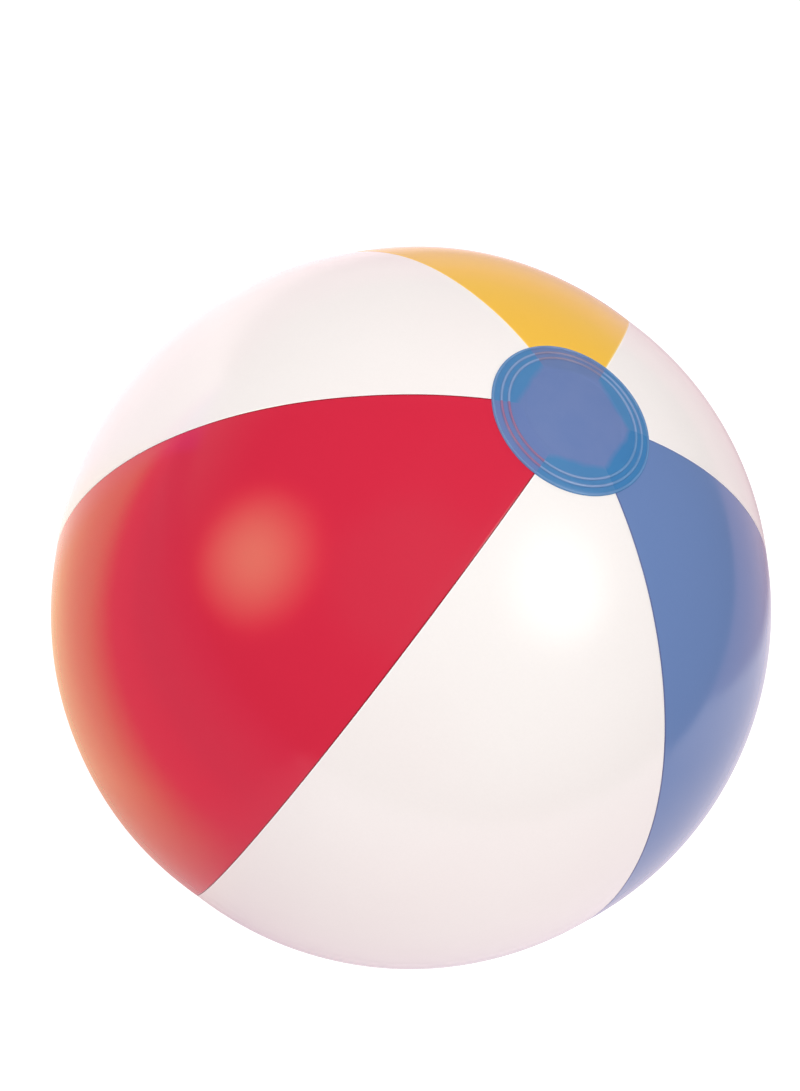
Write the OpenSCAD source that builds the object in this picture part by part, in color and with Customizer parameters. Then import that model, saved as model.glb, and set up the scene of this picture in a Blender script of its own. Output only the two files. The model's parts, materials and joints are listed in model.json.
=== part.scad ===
// Inflatable beach ball: six film gores, an end disc at each pole and a push-in valve.
// The origin is the centre of the ball and +Z is the polar axis, the line through both end discs.
// Longitudes run from +X, seen from above. The valve sits below the equator, on one white gore.
// Lengths are in millimetres.

/* [Ball] */
// Outer diameter of the inflated ball
ball_d = 400; // [300:10:520]
// Thickness of the film
film_t = 0.25; // [0.2:0.05:0.4]
// Distance from the polar axis to the tips of the gores, which end under the end discs
tip_r = 25; // [18:1:30]
// Width of the welded margin that each gore tucks under its neighbour
lap_w = 5; // [3:1:8]

/* [End discs] */
// Radius of an end disc
disc_r = 40.5; // [36:0.5:50]
// Radius of the round bead that each weld ring stands up as
bead_r = 0.7; // [0.4:0.1:0.9]

/* [Valve] */
// Latitude of the valve, in degrees
valve_lat = -30; // [-45:5:-15]
// Radius of the hole in the film
valve_hole_r = 14; // [13.5:0.5:15]
// Outer radius of the stem
stem_r = 5.5; // [5.2:0.1:6]
// Radius of the bore that the ball is blown up through
bore_r = 3.5; // [3:0.1:4]

/* [Hidden] */
$fn = 96;
// Large thin arcs need finer steps than the small round pieces.
fine_fn = 360;

ball_r = ball_d / 2;
gore_angle = 360 / 6;
// The valve sits in the middle of the white gore opposite the blue one.
valve_lon = 180;
far = 2 * ball_r;

// The weld rings of an end disc, as parts of its radius: one at the rim and two inside it.
weld_rings = [0.98, 0.889, 0.805];

// Heights along the valve's axis, counted outward from the ball's outer surface.
plug_top = -0.5;
stem_top = -2.3;
stem_foot = -15;
web_root = -8.6;
web_rim = -1.6;
flange_in_r = 13;
flange_out_r = 18.5;
flange_t = 0.6;
web_t = 0.6;
plug_r = 6;
plug_gap = 0.05;
shank_foot = -8.5;
flap_r = 4.2;
flap_t = 0.5;
flap_hinge_x = 4.9;
tether_mid_r = 7.7;
tether_w = 1;
tether_top = -1.8;
tether_foot = -4.2;

// Angle from the ball's axis to a point of the surface that is r away from that axis.
function polar(r) = asin(r / ball_r);

// Flat ring sector between two radii and two angles from the upright axis, right of that axis.
module arc_band(r_in, r_out, from, to) {
    intersection() {
        difference() {
            circle(r_out);
            circle(r_in);
        }
        polygon([
            [0, 0],
            for (i = [0:6]) let (a = from + (to - from) * i / 6) far * [sin(a), cos(a)],
        ]);
    }
}

// Sixth of a spherical skin, with its tips cut off short of both poles.
module skin(r_in, r_out, angle) {
    rotate_extrude(angle = angle) arc_band(r_in, r_out, polar(tip_r), 180 - polar(tip_r));
}

// The part of a spherical skin that lies within two distances from the plane of the seam.
module seam_strip(r_in, r_out, from, to) {
    intersection() {
        rotate([0, 0, -gore_angle / 2]) skin(r_in, r_out, gore_angle);
        translate([0, from, -ball_r]) cube([far, to - from, 2 * ball_r]);
    }
}

// One gore, centred on the longitude lon. It is built with its trailing seam on +Y and then turned.
// Its margin lies one film thickness further in, where the next gore covers it, and a short
// root joins the two.
module gore(lon) {
    root_w = 1;
    seam_lon = 90;
    rotate([0, 0, lon + gore_angle / 2 - seam_lon]) {
        rotate([0, 0, seam_lon - gore_angle]) skin(ball_r - film_t, ball_r, gore_angle);
        rotate([0, 0, seam_lon]) {
            seam_strip(ball_r - 2 * film_t, ball_r - film_t, -root_w / 2, lap_w);
            seam_strip(ball_r - 2 * film_t, ball_r - film_t / 2, -root_w, 0);
        }
    }
}

// Puts what is drawn round the upright axis, with the ball's centre as origin, on the valve's axis.
module at_valve() {
    rotate([0, 90 - valve_lat, valve_lon]) children();
}

// The same, with the origin on the ball's outer surface.
module at_valve_mouth() {
    at_valve() translate([0, 0, ball_r]) children();
}

module gore_blue() {
    color([0.36, 0.49, 0.72]) gore(0);
}

module gore_white_right() {
    color([0.97, 0.95, 0.93]) gore(gore_angle);
}

module gore_yellow() {
    color([0.95, 0.76, 0.26]) gore(2 * gore_angle);
}

// The gore that holds the valve.
module gore_white_left() {
    color([0.97, 0.95, 0.93]) difference() {
        gore(3 * gore_angle);
        at_valve() cylinder(r = valve_hole_r, h = far);
    }
}

module gore_red() {
    color([0.83, 0.17, 0.25]) gore(4 * gore_angle);
}

module gore_white_front() {
    color([0.97, 0.95, 0.93]) gore(5 * gore_angle);
}

// Round disc welded on the outside over the six gore tips. Its weld rings stand up as beads.
module end_disc() {
    rotate_extrude() arc_band(ball_r, ball_r + film_t, 0, polar(disc_r), $fn = fine_fn);
    for (k = weld_rings) weld_bead(polar(k * disc_r));
}

// Ring of half-round section at an angle from the axis. Its flat foot is sunk in the disc.
module weld_bead(angle) {
    rotate_extrude()
        translate((ball_r + film_t / 2) * [sin(angle), cos(angle)])
        rotate(-angle)
        intersection() {
            circle(bead_r);
            translate([-bead_r, 0]) square([2 * bead_r, bead_r]);
        }
}

module end_disc_top() {
    color([0.25, 0.5, 0.75]) end_disc();
}

module end_disc_bottom() {
    color([0.25, 0.5, 0.75]) mirror([0, 0, 1]) end_disc();
}

// Soft ring welded to the inside of the film round the hole.
module valve_flange() {
    skin_in = ball_r - film_t;
    color([0.93, 0.93, 0.9]) at_valve() rotate_extrude()
        arc_band(skin_in - flange_t, skin_in, polar(flange_in_r), polar(flange_out_r));
}

// Thin soft cone between flange and stem, which turns inside out as the stem is pulled.
module valve_web() {
    rim_r = flange_in_r - 0.1;
    bend_r = rim_r - 1.2;
    knee_r = stem_r + 1.3;
    color([0.93, 0.93, 0.9]) at_valve_mouth() rotate_extrude() polygon([
        [stem_r, web_root],
        [knee_r, web_root],
        [bend_r, web_rim],
        [rim_r, web_rim],
        [rim_r, web_rim - web_t],
        [bend_r + web_t / 2, web_rim - web_t],
        [knee_r + web_t / 2, web_root - web_t],
        [stem_r, web_root - web_t],
    ]);
}

// Tube that the ball is blown up through.
module valve_stem() {
    color([0.93, 0.93, 0.9]) at_valve_mouth() translate([0, 0, stem_foot]) difference() {
        cylinder(r = stem_r, h = stem_top - stem_foot);
        translate([0, 0, -1]) cylinder(r = bore_r, h = stem_top - stem_foot + 2);
    }
}

// Check flap on the stem's inner end. The tab at its edge is the living hinge.
module valve_flap() {
    tab_w = 3;
    color([0.9, 0.9, 0.87]) at_valve_mouth() translate([0, 0, stem_foot - plug_gap - flap_t]) {
        cylinder(r = flap_r, h = flap_t);
        translate([flap_r - 1.5, -tab_w / 2, 0]) cube([flap_hinge_x - flap_r + 1.5, tab_w, flap_t]);
    }
}

// Plug: a flat head on the stem's rim and a shank in the bore, with a chamfered tip.
module valve_plug() {
    shank_r = bore_r - plug_gap;
    head_foot = stem_top + plug_gap;
    color([0.95, 0.95, 0.93]) at_valve_mouth() rotate_extrude() polygon([
        [0, plug_top],
        [plug_r - 0.4, plug_top],
        [plug_r, plug_top - 0.4],
        [plug_r, head_foot],
        [shank_r, head_foot],
        [shank_r, shank_foot + 0.8],
        [shank_r - 0.8, shank_foot],
        [0, shank_foot],
    ]);
}

// Strap that curls half way round the stem, from the plug's head to the stem's far side.
module valve_tether() {
    leg_w = 2.4;
    leg_t = 1.2;
    out_r = tether_mid_r + tether_w / 2;
    color([0.93, 0.93, 0.9]) at_valve_mouth() difference() {
        union() {
            translate([0, 0, tether_foot]) rotate_extrude(angle = 180)
                translate([tether_mid_r - tether_w / 2, 0])
                square([tether_w, tether_top - tether_foot]);
            translate([plug_r - 1, -leg_w / 2, tether_top - 0.4])
                cube([out_r - plug_r + 0.6, leg_w, leg_t]);
            translate([-out_r + 0.4, -leg_w / 2, tether_foot])
                cube([out_r - stem_r + 0.6, leg_w, leg_t]);
        }
        translate([0, 0, stem_top + plug_gap]) cylinder(r = plug_r, h = 4);
        translate([0, 0, stem_foot])
            cylinder(r = stem_r + plug_gap, h = stem_top - stem_foot + plug_gap);
    }
}

gore_blue();
gore_white_right();
gore_yellow();
gore_white_left();
gore_red();
gore_white_front();
end_disc_top();
end_disc_bottom();
valve_flange();
valve_web();
valve_stem();
valve_flap();
valve_tether();
valve_plug();
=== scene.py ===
"""Inflatable beach ball: the looks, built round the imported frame.

The six gores and both end discs are rebuilt as closed thin shells of film. They have the swell that the
air gives each gore, the lap welds between them and fine puckers along the seams. Most of the valve's soft
pieces are turned profiles. Lengths are in metres, in the row frame: the ball's centre is the origin and
+Z is the polar axis.
"""

import json
import math
from functools import cache

import bmesh
import bpy
from mathutils import Matrix, Vector, noise


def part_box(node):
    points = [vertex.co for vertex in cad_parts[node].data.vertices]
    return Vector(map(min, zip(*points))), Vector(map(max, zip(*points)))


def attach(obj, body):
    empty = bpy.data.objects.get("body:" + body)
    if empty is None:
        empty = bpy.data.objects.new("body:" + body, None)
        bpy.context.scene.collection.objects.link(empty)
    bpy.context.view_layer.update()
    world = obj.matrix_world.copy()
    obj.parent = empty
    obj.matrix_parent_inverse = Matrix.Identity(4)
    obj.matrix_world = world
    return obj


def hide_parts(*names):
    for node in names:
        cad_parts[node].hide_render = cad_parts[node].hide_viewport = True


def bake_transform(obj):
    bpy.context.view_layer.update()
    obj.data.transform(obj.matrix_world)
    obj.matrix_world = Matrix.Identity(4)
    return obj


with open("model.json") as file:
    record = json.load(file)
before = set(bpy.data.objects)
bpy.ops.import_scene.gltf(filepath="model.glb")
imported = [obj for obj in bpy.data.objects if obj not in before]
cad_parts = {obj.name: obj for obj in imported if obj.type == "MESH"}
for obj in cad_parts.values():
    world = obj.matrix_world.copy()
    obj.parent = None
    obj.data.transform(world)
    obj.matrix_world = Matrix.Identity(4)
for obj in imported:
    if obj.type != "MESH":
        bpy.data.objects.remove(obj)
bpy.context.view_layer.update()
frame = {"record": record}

MM = 0.001
UP = Vector((0, 0, 1))
MOUNTS = {m["name"]: m for m in frame["record"]["mounts"]}

# ---------------------------------------------------------------- sizes

FILM = 0.25 * MM
BALL_R = -MOUNTS["rest_point"]["pos_m"][2] - FILM
FLOOR_Z = MOUNTS["rest_point"]["pos_m"][2]
DISC_R = (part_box("end_disc_top")[1].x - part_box("end_disc_top")[0].x) / 2
TIP_R = 25 * MM
LAP_W = 5 * MM
HALF_GORE = math.radians(30)
VALVE_HOLE_R = 14 * MM

# How the air shapes a gore: proud of the sphere in the middle, inside it at the seams.
SWELL = 0.5 * MM
VALLEY = 0.7 * MM
# Puckers: their height, how far from the seam they reach, their spacing along it, and the spacing of the
# stretches where they are strong.
PUCKER = 0.10 * MM
PUCKER_REACH = 14 * MM
PUCKER_STEP = 16 * MM
PUCKER_PATCH = 70 * MM
DENT = 0.35 * MM
# The distance from the seam is stored for the film's material, up to this much.
WELD_FAR = 20 * MM

# node, longitude of its middle, kind of film
GORES = [
    ("gore_blue", 0, "blue"),
    ("gore_white_right", 60, "white"),
    ("gore_yellow", 120, "yellow"),
    ("gore_white_left", 180, "white"),
    ("gore_red", 240, "red"),
    ("gore_white_front", 300, "white"),
]
VALVE_GORE = "gore_white_left"
# Weld rings of an end disc as parts of its radius, the outermost first.
WELD_RINGS = (0.98, 0.889, 0.805)
BEAD_R = 0.65 * MM
# How far an end disc sinks into the round hole between the gore tips.
DISC_SINK = 0.9 * FILM

# ---------------------------------------------------------------- mesh helpers

# Points of an outline closer to the axis than this lie on it.
ON_AXIS = 1e-9


def add_mesh(name, verts, faces, replaces, body="ball", sharp_deg=40.0, attributes=None):
    """A closed smooth-shaded piece that rides on a body, or on none if body is empty.
    attributes holds values for every vertex, by name."""
    mesh = bpy.data.meshes.new(name)
    mesh.from_pydata(verts, [], faces)
    for key, values in (attributes or {}).items():
        layer = mesh.attributes.new(key, "FLOAT", "POINT")
        layer.data.foreach_set("value", values)
    bm = bmesh.new()
    bm.from_mesh(mesh)
    bmesh.ops.recalc_face_normals(bm, faces=bm.faces)
    for face in bm.faces:
        face.smooth = True
    for edge in bm.edges:
        edge.smooth = not edge.is_manifold or edge.calc_face_angle() < math.radians(sharp_deg)
    bm.to_mesh(mesh)
    bm.free()
    obj = bpy.data.objects.new(name, mesh)
    bpy.context.scene.collection.objects.link(obj)
    if body:
        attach(obj, body)
    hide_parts(replaces)
    return obj


def closed_sheet(outer, inner, rows, cols):
    """Vertices and faces of a thin shell between two grids of the same size, closed along its rim."""
    verts = [*outer, *inner]
    shift = rows * cols
    faces = []
    for i in range(rows - 1):
        for j in range(cols - 1):
            a = i * cols + j
            quad = (a, a + 1, a + cols + 1, a + cols)
            faces.append(quad)
            faces.append(tuple(v + shift for v in reversed(quad)))
    rim = [(0, j) for j in range(cols - 1)]
    rim += [(i, cols - 1) for i in range(rows - 1)]
    rim += [(rows - 1, j) for j in range(cols - 1, 0, -1)]
    rim += [(i, 0) for i in range(rows - 1, 0, -1)]
    for (i, j), (k, m) in zip(rim, rim[1:] + rim[:1]):
        a = i * cols + j
        b = k * cols + m
        faces.append((a, b, b + shift, a + shift))
    return verts, faces


def fillet(points, radius, steps=4):
    """A closed outline with each corner rounded by a short curve, as far as its sides allow. A corner on
    the axis x = 0 stays as it is."""
    out = []
    count = len(points)
    for i, corner in enumerate(points):
        here = Vector(corner)
        if here.x < ON_AXIS:
            out.append(here)
            continue
        before = Vector(points[i - 1]) - here
        after = Vector(points[(i + 1) % count]) - here
        cut = min(radius, before.length * 0.45, after.length * 0.45)
        a = here + before.normalized() * cut
        b = here + after.normalized() * cut
        for k in range(steps + 1):
            t = k / steps
            out.append(a.lerp(here, t).lerp(here.lerp(b, t), t))
    return out


def lathe(profile, turn, steps=96):
    """A closed outline of (radius, height) points turned round the axis of the matrix turn."""
    rings = []
    verts = []
    for point in profile:
        ring = []
        for k in range(1 if point.x < ON_AXIS else steps):
            a = math.tau * k / steps
            ring.append(len(verts))
            verts.append(turn @ Vector((point.x * math.cos(a), point.x * math.sin(a), point.y)))
        rings.append(ring)
    faces = []
    for low, high in zip(rings, rings[1:] + rings[:1]):
        if len(low) == 1 and len(high) == 1:
            continue
        for k in range(steps):
            below = [low[k % len(low)], low[(k + 1) % len(low)]]
            above = [high[(k + 1) % len(high)], high[k % len(high)]]
            faces.append(tuple(dict.fromkeys(below + above)))
    return verts, faces


def smoothstep(low, high, value):
    """Share from 0 at low to 1 at high, with level ends."""
    t = min(1.0, max(0.0, (value - low) / (high - low)))
    return t * t * (3 - 2 * t)


def spread(low, high, count):
    """Evenly spaced values from low to high, both included."""
    return [low + (high - low) * k / (count - 1) for k in range(count)]


# ---------------------------------------------------------------- gores


def valve_axis():
    return Vector(MOUNTS["valve_mouth"]["axis"]).normalized()


def shape_of_air(theta, across, seam_id, seam_gap):
    """How far the film stands from the sphere. across runs from -1 to 1 between a gore's seams."""
    width = math.sin(theta)
    clear_of_disc = smoothstep(1.02 * DISC_R / BALL_R, 2.6 * DISC_R / BALL_R, width)
    rise = (SWELL + VALLEY) * (1 - across * across) - VALLEY
    along = theta * BALL_R
    gather = noise.noise(Vector((along / PUCKER_STEP, seam_id * 7.3, seam_gap / (50 * MM))))
    patch = 0.55 + 0.45 * noise.noise(Vector((along / PUCKER_PATCH, seam_id * 3.1, 5.0)))
    pucker = PUCKER * gather * patch * math.exp(-seam_gap / PUCKER_REACH)
    return clear_of_disc * (rise * width + pucker)


def dents(point):
    """Broad shallow unevenness, the same for every piece of film at that place."""
    p = point.normalized()
    slow = noise.noise(Vector((p.x * 3.1, p.y * 3.1, p.z * 1.5)))
    return DENT * slow * smoothstep(DISC_R / BALL_R, 0.5, math.hypot(p.x, p.y))


def gore_rows(name):
    """Angles from the pole, finer round the valve."""
    tip = math.asin(TIP_R / BALL_R)
    if name != VALVE_GORE:
        return spread(tip, math.pi - tip, 201)
    middle = math.acos(valve_axis().z)
    reach = math.radians(7)
    return [
        *spread(tip, middle - reach, 130)[:-1],
        *spread(middle - reach, middle + reach, 61),
        *spread(middle + reach, math.pi - tip, 60)[1:],
    ]


def gore_columns(name):
    """Places across a gore: (share of the inner width or None, distance from the nearer seam, side).
    The last ones have a negative distance, as they lie in the margin under the next gore."""
    near_seam = [0, 0.25, 0.55, 1.1, 2.6, 4.9, 5.5]
    inner_gap = 8 * MM
    shares = spread(-1, 1, 41)
    if name == VALVE_GORE:
        reach = 0.26
        shares = [
            *spread(-1, -reach, 18)[:-1],
            *spread(-reach, reach, 53),
            *spread(reach, 1, 18)[1:],
        ]
    left = [(None, d * MM, -1) for d in near_seam]
    inner = [(share, inner_gap, 0) for share in shares]
    right = [(None, d * MM, 1) for d in reversed(near_seam)]
    tucked = [(None, -d * MM, 1) for d in (0.35, 1.6, 3.3, LAP_W / MM)]
    return left + inner + right + tucked


def edge_dip(gap, side):
    """The last film's width: a rounded lip on the edge that shows, a step down where it tucks under."""
    if side < 0:
        return -0.06 * MM * (1 - smoothstep(0, 0.3 * MM, gap)) + 0.05 * MM * math.exp(-gap / (0.8 * MM))
    if side > 0:
        return -(FILM + 0.03 * MM) * (1 - smoothstep(0, 0.6 * MM, gap))
    return 0.0


def gore_piece(index):
    """One gore as a closed shell of film. Seams are numbered so that both gores beside one shape it alike."""
    name, lon, kind = GORES[index]
    rows = gore_rows(name)
    columns = gore_columns(name)
    outer = []
    inner = []
    weld = []
    for theta in rows:
        width = math.sin(theta)
        ring = BALL_R * width
        half = HALF_GORE * ring
        for share, gap, side in columns:
            x = share * (half - gap) if share is not None else side * (half - gap)
            gap_here = half - abs(x)
            seam_side = 1 if x > 0 else -1
            seam_id = (2 * index + 1 + seam_side) % (2 * len(GORES))
            angle = math.radians(lon) + x / ring
            ray = Vector((width * math.cos(angle), width * math.sin(angle), math.cos(theta)))
            across = min(1.0, abs(x) / half)
            rise = shape_of_air(theta, across, seam_id, max(0.0, gap_here)) + dents(ray)
            reach = BALL_R + rise + edge_dip(gap_here, side)
            outer.append(ray * reach)
            inner.append(ray * (reach - FILM))
            weld.append(min(max(0.0, gap_here), WELD_FAR))
    verts, faces = closed_sheet(outer, inner, len(rows), len(columns))
    obj = add_mesh(
        name.replace("gore", "film"), verts, faces,
        replaces=name, attributes={"weld": weld * 2},
    )
    obj.data.materials.append(film_material(kind))
    if name == VALVE_GORE:
        cut_valve_hole(obj)


def cut_valve_hole(obj):
    """Opens the film over the valve, with a fine round cutter."""
    bpy.ops.mesh.primitive_cylinder_add(vertices=128, radius=VALVE_HOLE_R, depth=40 * MM)
    cutter = bpy.context.object
    cutter.matrix_world = VALVE
    cut = obj.modifiers.new("hole", "BOOLEAN")
    cut.operation = "DIFFERENCE"
    cut.solver = "EXACT"
    cut.object = cutter
    bpy.context.view_layer.update()
    result = bpy.data.meshes.new_from_object(obj.evaluated_get(bpy.context.evaluated_depsgraph_get()))
    obj.modifiers.clear()
    old = obj.data
    obj.data = result
    result.name = old.name
    bpy.data.meshes.remove(old)
    bpy.data.objects.remove(cutter)


# ---------------------------------------------------------------- end discs


def disc_sink(r):
    """How far the disc lies below its place over the gores, at r from the axis."""
    return DISC_SINK * (1 - smoothstep(TIP_R - 0.6 * MM, TIP_R + 0.9 * MM, r))


def ring_relief(r):
    """Height of the weld rings: a bead with a shallow trough on both sides."""
    rise = 0.0
    for k in WELD_RINGS:
        gap = abs(r - k * DISC_R)
        trough = 0.07 * MM * (1 - smoothstep(BEAD_R, 2.2 * BEAD_R, gap))
        bead = math.sqrt(max(0.0, BEAD_R**2 - gap**2)) * 0.8
        rise += bead if bead > 0 else -trough
    return rise


def disc_profile():
    """Outline of an end disc in (distance from the axis, height), from its middle out and back."""
    # Steps of 1 mm in the middle, 0.3 mm over the gore tips and 0.12 mm over the weld rings.
    radii = [
        *spread(0, 20 * MM, 21),
        *spread(20.5 * MM, 31 * MM, 36),
        *spread(31.12 * MM, 0.9965 * DISC_R, 78),
    ]
    clear = 0.02 * MM
    top = []
    foot = []
    for r in radii:
        angle = math.asin(r / BALL_R)
        out = Vector((math.sin(angle), math.cos(angle)))
        top.append(out * (BALL_R + FILM + ring_relief(r) - disc_sink(r)))
        foot.append(out * (BALL_R + clear - disc_sink(r)))
    edge = math.asin(DISC_R / BALL_R)
    rim = [Vector((math.sin(edge), math.cos(edge))) * (BALL_R + h * FILM) for h in (0.75, 0.3)]
    return top + rim + list(reversed(foot))


def end_disc(node, up):
    """One end disc. The lower one is the upper one turned over."""
    turn = Matrix.Identity(4) if up > 0 else Matrix.Rotation(math.pi, 4, "X")
    verts, faces = lathe(disc_profile(), turn, steps=240)
    obj = add_mesh(node.replace("end_disc", "disc_film"), verts, faces, replaces=node)
    obj.data.materials.append(disc_material())


# ---------------------------------------------------------------- valve


def valve_matrix():
    """Local frame of the valve: z outward along its axis, origin on the ball's surface."""
    z = valve_axis()
    y = Vector((0, -1, 0))
    x = y.cross(z)
    turn = Matrix((x, y, z)).transposed().to_4x4()
    return Matrix.Translation(z * BALL_R) @ turn


VALVE = valve_matrix()


def turned(name, node, body, points, corner, steps=96):
    """A soft moulded piece of the valve, turned from its outline in millimetres."""
    outline = fillet([Vector(p) * MM for p in points], corner * MM)
    verts, faces = lathe(outline, VALVE, steps)
    obj = add_mesh(name, verts, faces, body=body, replaces=node, sharp_deg=50)
    obj.data.materials.append(valve_material())
    return obj


def valve_flange():
    """Flat soft ring under the film, curved with it."""
    ball_mm = BALL_R / MM

    def skin(r, depth):
        return (r, math.sqrt((ball_mm - depth) ** 2 - r * r) - ball_mm)

    radii = spread(13, 18.5, 8)
    outline = [skin(r, 0.30) for r in radii] + [skin(r, 0.85) for r in reversed(radii)]
    turned("flange_ring", "valve_flange", "ball", outline, 0.12)


def valve_web():
    """The soft cone, on no body: its rim lies by the film and its root by the stem."""
    top = [(12.9, -1.6), (11.9, -1.62), (11.3, -2.1), (7.4, -8.0), (6.7, -8.55), (5.5, -8.6)]
    foot = [(5.5, -9.2), (7.0, -9.15), (7.95, -8.4), (11.8, -2.6), (12.2, -2.25), (12.9, -2.2)]
    obj = turned("web_cone", "valve_web", None, top + foot, 0.25, 128)
    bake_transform(obj)


def valve_stem():
    """Tube with a low collar at each end."""
    outline = [
        (3.5, -2.3), (5.5, -2.3), (5.5, -3.1), (5.3, -3.3),
        (5.3, -13.6), (5.5, -13.8), (5.5, -15), (3.5, -15),
    ]
    turned("stem_tube", "valve_stem", "stem", outline, 0.3)


def valve_plug():
    """Cap with a shallow dish on top and a groove round its shank."""
    outline = [
        (0, -0.95), (3.4, -0.95), (4.0, -0.5), (6.0, -0.5), (6.0, -2.25), (3.45, -2.25),
        (3.45, -5.0), (3.25, -5.2), (3.25, -5.6), (3.45, -5.8), (3.45, -7.7), (2.6, -8.5), (0, -8.5),
    ]
    turned("plug_cap", "valve_plug", "plug", outline, 0.25)


def valve_flap():
    """Round check flap with the tab that is its living hinge."""
    radius = 4.2
    hinge_x = 4.9
    half_tab = 1.5
    top = -15.05
    foot = -15.5
    reach = math.asin(half_tab / radius)
    count = 40
    outline = [(hinge_x, -half_tab), (hinge_x, half_tab)]
    for k in range(count + 1):
        a = reach + (math.tau - 2 * reach) * k / count
        outline.append((radius * math.cos(a), radius * math.sin(a)))
    verts = [VALVE @ (Vector((x, y, z)) * MM) for z in (top, foot) for x, y in outline]
    n = len(outline)
    faces = [tuple(range(n)), tuple(range(2 * n - 1, n - 1, -1))]
    faces += [(k, (k + 1) % n, n + (k + 1) % n, n + k) for k in range(n)]
    obj = add_mesh("check_flap", verts, faces, body="flap", replaces="valve_flap")
    obj.data.materials.append(valve_material())


def valve_tether():
    """Strap from the plug's head, half way round the stem, to the stem's far side."""
    mid_r = 7.7
    path = [Vector((5.75, 0.0, -1.75)), Vector((6.6, 0.0, -1.75)), Vector((7.2, 0.25, -1.8))]
    for a in spread(math.radians(9), math.radians(171), 40):
        height = -1.85 - 1.5 * smoothstep(0, math.pi, a)
        path.append(Vector((mid_r * math.cos(a), mid_r * math.sin(a), height)))
    path += [Vector((-7.2, 0.25, -3.4)), Vector((-6.6, 0.0, -3.4)), Vector((-5.45, 0.0, -3.4))]
    half_w = 0.45
    half_t = 0.85
    # The section is drawn off the axis, as fillet leaves corners on the axis sharp.
    shift = 10
    corners = [
        (shift - half_w, -half_t), (shift + half_w, -half_t),
        (shift + half_w, half_t), (shift - half_w, half_t),
    ]
    section = fillet(corners, 0.3, 3)
    verts = []
    for i, point in enumerate(path):
        tangent = (path[min(i + 1, len(path) - 1)] - path[max(i - 1, 0)]).normalized()
        side = tangent.cross(UP).normalized()
        verts += [VALVE @ ((point + side * (q.x - shift) + UP * q.y) * MM) for q in section]
    n = len(section)
    faces = [tuple(range(n)), tuple(range(len(verts) - 1, len(verts) - n - 1, -1))]
    for i in range(len(path) - 1):
        for k in range(n):
            a = i * n + k
            b = i * n + (k + 1) % n
            faces.append((a, b, b + n, a + n))
    obj = add_mesh("plug_strap", verts, faces, body=None, replaces="valve_tether")
    obj.data.materials.append(valve_material())
    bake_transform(obj)


# ---------------------------------------------------------------- materials


class Graph:
    """Short calls that add shader nodes to a material, a light or the world. place is the output of the
    texture coordinates that its patterns follow."""

    def __init__(self, owner, shader="Principled BSDF", place="Object"):
        owner.use_nodes = True
        self.owner = owner
        self.tree = owner.node_tree
        self.shader = self.tree.nodes[shader]
        self.place = self.add("ShaderNodeTexCoord").outputs[place]

    def add(self, kind, **settings):
        node = self.tree.nodes.new(kind)
        for key, value in settings.items():
            setattr(node, key, value)
        return node

    def link(self, source, target):
        """Feeds a socket from another one, or sets it to a value."""
        if isinstance(source, bpy.types.NodeSocket):
            self.tree.links.new(source, target)
        else:
            target.default_value = source

    def coordinates(self):
        node = self.add("ShaderNodeSeparateXYZ")
        self.link(self.place, node.inputs[0])
        return node.outputs[:]

    def math(self, operation, a, b=0.0):
        node = self.add("ShaderNodeMath", operation=operation)
        self.link(a, node.inputs[0])
        self.link(b, node.inputs[1])
        return node.outputs[0]

    def total(self, first, *more):
        for value in more:
            first = self.math("ADD", first, value)
        return first

    def product(self, first, *more):
        for value in more:
            first = self.math("MULTIPLY", first, value)
        return first

    def gap(self, a, b):
        return self.math("ABSOLUTE", self.math("SUBTRACT", a, b))

    def length(self, x, y):
        return self.math("SQRT", self.total(self.product(x, x), self.product(y, y)))

    def noise(self, scale, detail=2.0, rough=0.5, stretch=None):
        vector = self.place
        if stretch:
            mapping = self.add("ShaderNodeMapping")
            mapping.inputs["Scale"].default_value = stretch
            self.link(vector, mapping.inputs["Vector"])
            vector = mapping.outputs[0]
        node = self.add("ShaderNodeTexNoise")
        node.inputs["Scale"].default_value = scale
        node.inputs["Detail"].default_value = detail
        node.inputs["Roughness"].default_value = rough
        self.link(vector, node.inputs["Vector"])
        return node.outputs["Fac"]

    def remap(self, value, low, high, to_low, to_high, curve="LINEAR"):
        """What runs from to_low to to_high as value runs from low to high, and no further."""
        node = self.add("ShaderNodeMapRange", clamp=True, interpolation_type=curve)
        for source, target in zip((value, low, high, to_low, to_high), node.inputs):
            self.link(source, target)
        return node.outputs[0]

    def mix(self, factor, a, b):
        node = self.add("ShaderNodeMix", data_type="RGBA")
        self.link(factor, node.inputs[0])
        self.link(a if isinstance(a, bpy.types.NodeSocket) else (*a, 1), node.inputs[6])
        self.link(b if isinstance(b, bpy.types.NodeSocket) else (*b, 1), node.inputs[7])
        return node.outputs[2]

    def combine(self, red, green, blue):
        node = self.add("ShaderNodeCombineColor")
        for source, target in zip((red, green, blue), node.inputs):
            self.link(source, target)
        return node.outputs[0]

    def bands(self, factor, stops):
        """Bands of colour. Each stop is (where the band starts, colour)."""
        node = self.add("ShaderNodeValToRGB")
        node.color_ramp.interpolation = "CONSTANT"
        points = node.color_ramp.elements
        while len(points) < len(stops):
            points.new(0.5)
        for point, (where, colour) in zip(points, sorted(stops)):
            point.position = where
            point.color = (*colour, 1)
        self.link(factor, node.inputs[0])
        return node.outputs[0]

    def bump(self, *layers):
        """Each layer is (height, strength, distance in metres)."""
        normal = None
        for height, strength, distance in layers:
            node = self.add("ShaderNodeBump")
            node.inputs["Strength"].default_value = strength
            node.inputs["Distance"].default_value = distance
            self.link(height, node.inputs["Height"])
            if normal:
                self.link(normal, node.inputs["Normal"])
            normal = node.outputs[0]
        self.link(normal, self.shader.inputs["Normal"])

    def set(self, **sockets):
        """Feeds or sets inputs of the shader. An underscore stands for the space in an input's name."""
        for key, value in sockets.items():
            self.link(value, self.shader.inputs[key.replace("_", " ")])
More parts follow.
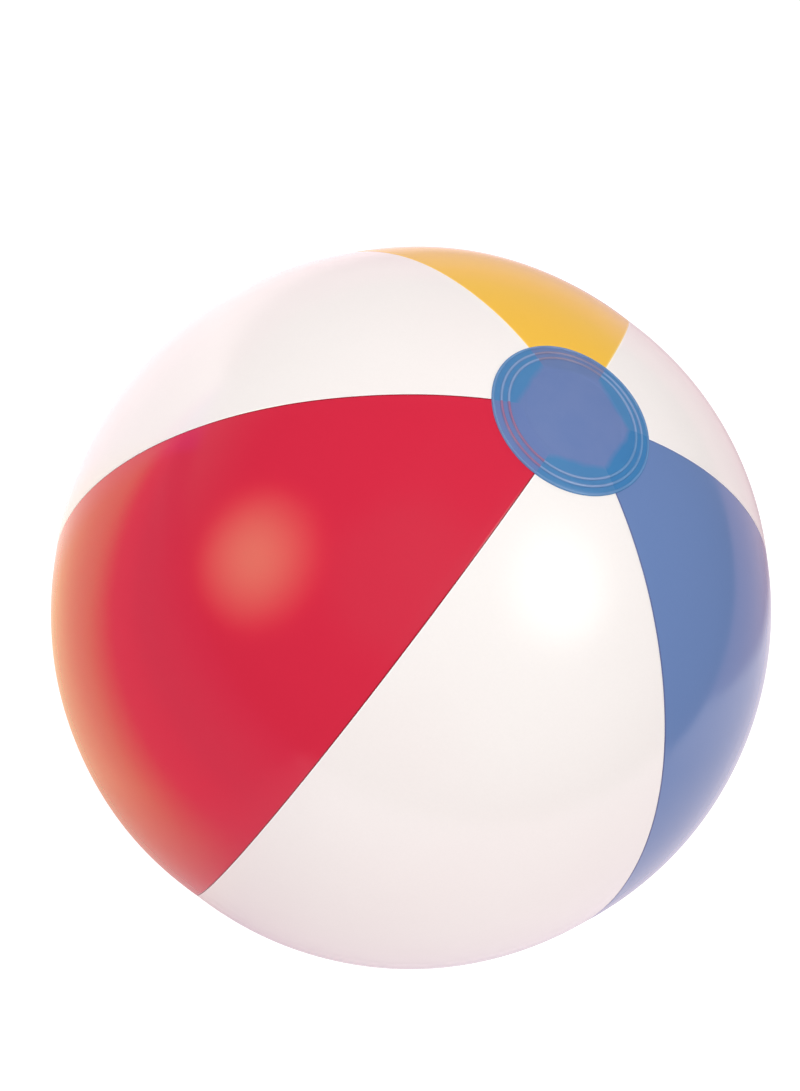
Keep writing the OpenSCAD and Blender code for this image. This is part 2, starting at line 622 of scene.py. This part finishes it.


# Linear colours: the film, a paler or deeper shade that it drifts to, and the line at its cut edge, partly
# the edge itself and partly painted: shade on red and blue, a highlight on white and yellow.
FILMS = {
    "blue": ((0.138, 0.238, 0.498), (0.148, 0.240, 0.490), (0.12, 0.15, 0.33)),
    "white": ((0.945, 0.938, 0.920), (0.930, 0.900, 0.885), (1.0, 1.0, 1.0)),
    "yellow": ((0.940, 0.575, 0.062), (0.920, 0.550, 0.074), (0.98, 0.74, 0.28)),
    "red": ((0.675, 0.020, 0.056), (0.671, 0.021, 0.058), (0.22, 0.01, 0.02)),
}
# Linear colours of an end disc: over each kind of film, and its weld rings there.
DISC_OVER = {
    "white": (0.076, 0.245, 0.495),
    "red": (0.150, 0.225, 0.480),
    "yellow": (0.148, 0.222, 0.440),
    "blue": (0.050, 0.222, 0.485),
}
RINGS_OVER = {
    "white": (0.290, 0.400, 0.650),
    "red": (0.430, 0.150, 0.230),
    "yellow": (0.300, 0.250, 0.340),
    "blue": (0.180, 0.350, 0.610),
}
DISC_OVER_HOLE = (0.155, 0.232, 0.480)
DISC_RIM = (0.20, 0.36, 0.62)
DISC_CLOUD = (0.05, 0.15, 0.42)
VINYL_IOR = 1.5


@cache
def film_material(kind):
    """Glossy soft vinyl: even colour with slow drift and fine grain, a duller weld band and a line at the cut
    edge that is partly painted shade and highlight.
    """
    g = Graph(bpy.data.materials.new("vinyl_" + kind))
    colour, drift, cut = FILMS[kind]
    gap = g.add("ShaderNodeAttribute", attribute_name="weld").outputs["Fac"]
    slow = g.remap(g.noise(5.5, 2), 0.35, 0.65, 0, 1)
    base = g.mix(slow, colour, drift)
    grain = g.remap(g.noise(900, 2, 0.6), 0.3, 0.7, 0, 0.05)
    base = g.mix(grain, base, tuple(c * 0.7 for c in colour))
    band = g.remap(gap, 3.5 * MM, 7.0 * MM, 1, 0)
    # The line at the seam is partly the cut edge and partly painted: shade on red and blue film, a highlight
    # on white and yellow.
    edge = g.remap(gap, 0.25 * MM, 0.8 * MM, 1, 0)
    base = g.mix(edge, base, cut)
    smudge = g.noise(14, 4, 0.6)
    rough = g.remap(smudge, 0.3, 0.7, 0.11, 0.15)
    rough = g.total(rough, g.product(band, 0.03))
    crease = g.noise(9, 3, 0.55, stretch=(1, 1, 0.35))
    peel = g.noise(160, 2)
    fine = g.noise(1400, 2)
    g.set(Base_Color=base, Roughness=rough, IOR=VINYL_IOR)
    g.bump((crease, 0.25, 1.2 * MM), (peel, 0.12, 0.12 * MM), (fine, 0.08, 0.03 * MM))
    return g.owner


@cache
def disc_material():
    """Translucent blue film: what lies under it shows as a shift of colour, most of all in the weld rings."""
    g = Graph(bpy.data.materials.new("vinyl_disc"))
    x, y, _ = g.coordinates()
    radius = g.length(x, y)
    # Longitude as a share of a turn, which starts in the middle of the gore at 180 degrees.
    turn = g.total(g.math("DIVIDE", g.math("ARCTAN2", y, x), math.tau), 0.5)

    def around(colours):
        """The colour that goes with the gore under each place."""
        stops = [(0.0, colours[kind]) for _, lon, kind in GORES if lon == 180]
        for _, lon, kind in GORES:
            start = (lon - 30) / 360 + 0.5
            stops.append((start % 1.0, colours[kind]))
        return g.bands(turn, stops)

    # The hole between the gore tips shows through as a hexagon with a soft, slightly ragged edge.
    sixth = g.math("SUBTRACT", g.math("FRACT", g.total(g.product(turn, 6), 0.5)), 0.5)
    straight = g.product(radius, g.math("COSINE", g.product(sixth, math.tau / 6)))
    ragged = g.product(g.math("SUBTRACT", g.noise(70, 2), 0.5), 5 * MM)
    hole = g.remap(g.total(straight, ragged), TIP_R - 1.5 * MM, TIP_R + 1.5 * MM, 1, 0)
    base = g.mix(hole, around(DISC_OVER), DISC_OVER_HOLE)
    outermost, *rings = [g.gap(radius, k * DISC_R) for k in WELD_RINGS]
    rim = g.remap(outermost, 0.4 * MM, 0.8 * MM, 1, 0)
    base = g.mix(g.product(rim, 0.5), base, DISC_RIM)
    lines = [g.remap(gap, 0.35 * MM, 0.85 * MM, 1, 0) for gap in rings]
    base = g.mix(g.product(g.math("MAXIMUM", *lines), 0.75), base, around(RINGS_OVER))
    cloud = g.remap(g.noise(60, 3, 0.6), 0.35, 0.65, 0, 0.12)
    base = g.mix(cloud, base, DISC_CLOUD)
    rough = g.remap(g.noise(40, 3), 0.3, 0.7, 0.10, 0.18)
    g.set(Base_Color=base, Roughness=rough, IOR=VINYL_IOR)
    g.set(Coat_Weight=0.5, Coat_Roughness=0.04, Coat_IOR=VINYL_IOR)
    g.bump((g.noise(45, 2), 0.2, 0.4 * MM), (g.noise(600, 2), 0.1, 0.05 * MM))
    return g.owner


@cache
def valve_material():
    """Soft milky vinyl moulding, a little waxy."""
    g = Graph(bpy.data.materials.new("vinyl_valve"))
    cloud = g.remap(g.noise(180, 3), 0.35, 0.65, 0, 1)
    base = g.mix(cloud, (0.82, 0.82, 0.78), (0.88, 0.87, 0.84))
    rough = g.remap(g.noise(300, 2), 0.3, 0.7, 0.30, 0.42)
    g.set(Base_Color=base, Roughness=rough, IOR=VINYL_IOR)
    g.set(Subsurface_Weight=0.25, Subsurface_Scale=1.5 * MM)
    g.bump((g.noise(900, 2), 0.1, 0.05 * MM))
    return g.owner


# ---------------------------------------------------------------- camera

VIEW_AZIMUTH = math.radians(-5.3)
VIEW_ELEVATION = math.radians(55.1)
VIEW_ROLL = math.radians(41.3)
CAMERA_DISTANCE = 3.9 * BALL_R
LENS_MM = 44.8
SENSOR_MM = 36
# Where the ball's centre falls, as slopes from the optical axis: a little right of it and below it.
AIM_RIGHT = 0.0075
AIM_DOWN = 0.0425


def camera_axes():
    """Right, up and backward direction of a camera that looks at the ball's centre, with its roll."""
    az, el = VIEW_AZIMUTH, VIEW_ELEVATION
    back = Vector((math.sin(az) * math.cos(el), -math.cos(az) * math.cos(el), math.sin(el)))
    level = Vector((math.cos(az), math.sin(az), 0))
    upright = back.cross(level)
    right = level * math.cos(VIEW_ROLL) + upright * math.sin(VIEW_ROLL)
    return right, back.cross(right), back


def make_camera():
    """Looks down on the ball past its upper disc, with the ball a little off the middle of the picture."""
    right, up, back = camera_axes()
    axis = (-back - right * AIM_RIGHT + up * AIM_DOWN).normalized()
    side = (right - axis * right.dot(axis)).normalized()
    turn = Matrix((side, axis.cross(side) * -1, -axis)).transposed().to_4x4()
    data = bpy.data.cameras.new("camera")
    data.lens = LENS_MM
    data.sensor_width = SENSOR_MM
    data.clip_end = 100
    camera = bpy.data.objects.new("camera", data)
    camera.matrix_world = Matrix.Translation(back * CAMERA_DISTANCE) @ turn
    bpy.context.scene.collection.objects.link(camera)
    bpy.context.scene.camera = camera


# ---------------------------------------------------------------- stage and light

NEUTRAL = (1.0, 0.985, 0.96)
LEMON = (0.68, 1.0, 0.48)
LILAC = (1.0, 0.78, 0.90)
ROSE = (1.0, 0.86, 0.89)
FLOOR_TINT = (1.0, 0.86, 0.83)
SKY_TINT = (1.0, 0.93, 0.94)

# Brightness of the floor for the camera, and for matt surfaces away from and on the light patch painted into
# its glow.
FLOOR_SEEN = 0.90
FLOOR_DIM = 0.34
FLOOR_LIGHT_PATCH = 0.76
# Brightness of the sky for the camera and for matt surfaces, and of the dark room that the film mirrors.
SKY_SEEN = 1.1
SKY_MATT = 0.44
ROOM_DIM = 0.12
ROOM_GLOW = 0.45


def make_floor():
    """A pale floor: white with a faint shadow for the camera, and dimmer for the ball."""
    size = 30.0
    mesh = bpy.data.meshes.new("floor")
    corners = [(x * size, y * size, FLOOR_Z - 0.1 * MM) for x, y in ((-1, -1), (1, -1), (1, 1), (-1, 1))]
    mesh.from_pydata(corners, [], [(0, 1, 2, 3)])
    floor = bpy.data.objects.new("floor", mesh)
    bpy.context.scene.collection.objects.link(floor)
    g = Graph(bpy.data.materials.new("floor_paint"))
    rays = g.add("ShaderNodeLightPath").outputs
    x, y, _ = g.coordinates()
    # The light patch is light painted into the floor's glow, for matt surfaces and for the film's
    # reflections.
    light_patch = painted_light_patch(g, x, y)
    glow = g.mix(light_patch, [FLOOR_DIM * c for c in FLOOR_TINT], [FLOOR_LIGHT_PATCH * c for c in FLOOR_TINT])
    glow = g.mix(rays["Is Glossy Ray"], glow, mirrored_floor(g, x, y, light_patch))
    glow = g.mix(rays["Is Camera Ray"], glow, [FLOOR_SEEN] * 3)
    g.set(Base_Color=(0.30, 0.30, 0.30, 1), Roughness=0.9, Specular_IOR_Level=0.0)
    g.set(Emission_Color=glow, Emission_Strength=1.0)
    mesh.materials.append(g.owner)


def painted_light_patch(g, x, y):
    """A brighter patch to the right of the ball, light painted into the floor's glow, whose edge shows as a
    streak in the blue gore.
    """
    before_edge = g.math("SUBTRACT", g.product(x, 0.39), y)
    return g.product(g.remap(before_edge, -0.38, -0.28, 0, 1), g.remap(x, -0.1, 0.4, 0, 1))


def mirrored_floor(g, x, y, light_patch):
    """What the glossy film mirrors, all light painted into the floor's glow: dim lilac floor, the light
    patch, a brighter glow far behind the ball, and a pool of light on the left. The pool is white behind the
    ball, and toward the front it runs over yellow and orange to a red edge."""
    inward = g.total(g.product(x, 0.30), y, 0.405)
    red = g.remap(inward, -0.38, -0.20, 0, 0.98)
    green = g.remap(inward, -0.08, 0.07, 0, 0.88)
    blue = g.total(g.remap(inward, -0.05, 0.10, 0, 0.26), g.remap(y, -0.08, 0.03, 0, 0.60))
    left = g.remap(x, -0.12, 0.04, 1, 0)
    near = g.remap(g.total(g.product(x, 0.25), y), 0.25, 0.75, 1, 0)
    # The ball's own foot shades the middle of the pool.
    unshaded = g.remap(g.length(x, y), 0.14, 0.27, 0.50, 1)
    pool = g.product(left, near, unshaded)
    far = g.remap(y, 0.3, 0.8, 0, 1)

    # Each channel sums painted light: the patch, the glow far behind the ball, the dim floor and the pool.
    def channel(light, dim, patch_glow, back):
        return g.total(g.product(light_patch, patch_glow), g.product(far, back), dim, g.product(pool, light))

    return g.combine(
        channel(red, 0.22, 0.55, 0.35),
        channel(green, 0.06, 0.60, 0.28),
        channel(blue, 0.15, 0.60, 0.25),
    )


def in_view(x, y, z):
    """A direction given as right, up and toward the camera, in the row frame."""
    right, up, back = camera_axes()
    return (right * x + up * y + back * z).normalized()


def soft_light(name, where, size, radiance, colour, aim=None, fades=None, glossy=True, diffuse=True):
    """A round light that the camera doesn't see. radiance is its brightness per solid angle. fades, if given,
    makes it dark at its rim: it is the power with which its red falls, and 1 keeps its hue."""
    data = bpy.data.lights.new(name, "AREA")
    data.shape = "DISK"
    data.size = size
    area = math.pi * size**2 / 4
    data.energy = radiance * area * math.pi
    if fades:
        fade_to_rim(data, colour, fades)
    else:
        data.color = colour
    light = bpy.data.objects.new(name, data)
    target = Vector((0, 0, 0)) if aim is None else aim
    turn = (where - target).to_track_quat("Z", "Y").to_matrix().to_4x4()
    light.matrix_world = Matrix.Translation(where) @ turn
    bpy.context.scene.collection.objects.link(light)
    light.visible_camera = False
    light.visible_glossy = glossy
    light.visible_diffuse = diffuse


def fade_to_rim(data, colour, red_power):
    """Makes a light's strength fall smoothly from its middle to its rim. With red_power under 1 its red
    falls more slowly than the rest."""
    g = Graph(data, "Emission", "UV")
    gap = g.add("ShaderNodeVectorMath", operation="DISTANCE")
    g.link(g.place, gap.inputs[0])
    g.link((0.5, 0.5, 0), gap.inputs[1])
    fall = g.remap(gap.outputs["Value"], 0, 0.5, 1, 0, "SMOOTHSTEP")
    red, green, blue = colour
    red = g.product(g.math("POWER", fall, red_power), red)
    g.set(Color=g.combine(red, g.product(fall, green), g.product(fall, blue)))


def make_world():
    """Even pale light for matt surfaces, white for the camera, and a dark room with a soft glow above the
    horizon, behind the ball and to its left, for what the film mirrors."""
    world = bpy.data.worlds.new("studio")
    g = Graph(world, "Background", "Generated")
    rays = g.add("ShaderNodeLightPath").outputs
    x, y, z = g.coordinates()
    behind_left = g.math("SUBTRACT", y, x)
    low_glow = g.remap(z, 0, 0.35, ROOM_GLOW, ROOM_DIM)
    room = g.remap(behind_left, 0.2, 1, ROOM_DIM, low_glow)
    level = g.remap(rays["Is Glossy Ray"], 0, 1, SKY_MATT, room)
    level = g.remap(rays["Is Camera Ray"], 0, 1, level, SKY_SEEN)
    g.set(Color=(*SKY_TINT, 1), Strength=level)
    bpy.context.scene.world = world


def make_lights():
    """Two lamps that the film mirrors as round highlights, fills that it doesn't mirror, and a bounce of
    light from the floor."""
    soft_light("lamp_left", in_view(-0.668, 0.201, 0.716) * 1.5, 1.20, 3.8, LEMON, fades=0.35, diffuse=False)
    soft_light("lamp_right", in_view(0.660, 0.080, 0.747) * 1.5, 1.20, 4.2, NEUTRAL, fades=1, diffuse=False)
    soft_light("fill_front", in_view(0.0, 0.10, 1.0) * 2.2, 1.8, 2.3, NEUTRAL, glossy=False)
    soft_light("fill_right", in_view(0.66, 0.15, 0.73) * 1.5, 1.2, 0.9, NEUTRAL, glossy=False)
    soft_light("fill_left", in_view(-0.86, 0.5, -0.1) * 2.0, 1.8, 1.6, NEUTRAL, glossy=False)
    soft_light("fill_top", Vector((0, 0, 3)), 3.0, 0.7, NEUTRAL, glossy=False)
    soft_light("fill_back", Vector((-1.2, 2.0, 0.9)), 2.0, 0.9, ROSE, glossy=False)
    bounce = Vector((-0.30, -0.25, FLOOR_Z + 2 * MM))
    soft_light("bounce", bounce, 2.4, 0.30, LILAC, aim=bounce + UP, glossy=False)
    make_world()
    bpy.context.scene.view_settings.view_transform = "Standard"


# ---------------------------------------------------------------- build

make_camera()
make_floor()
make_lights()
for number in range(len(GORES)):
    gore_piece(number)
end_disc("end_disc_top", 1)
end_disc("end_disc_bottom", -1)
valve_flange()
valve_web()
valve_stem()
valve_plug()
valve_flap()
valve_tether()
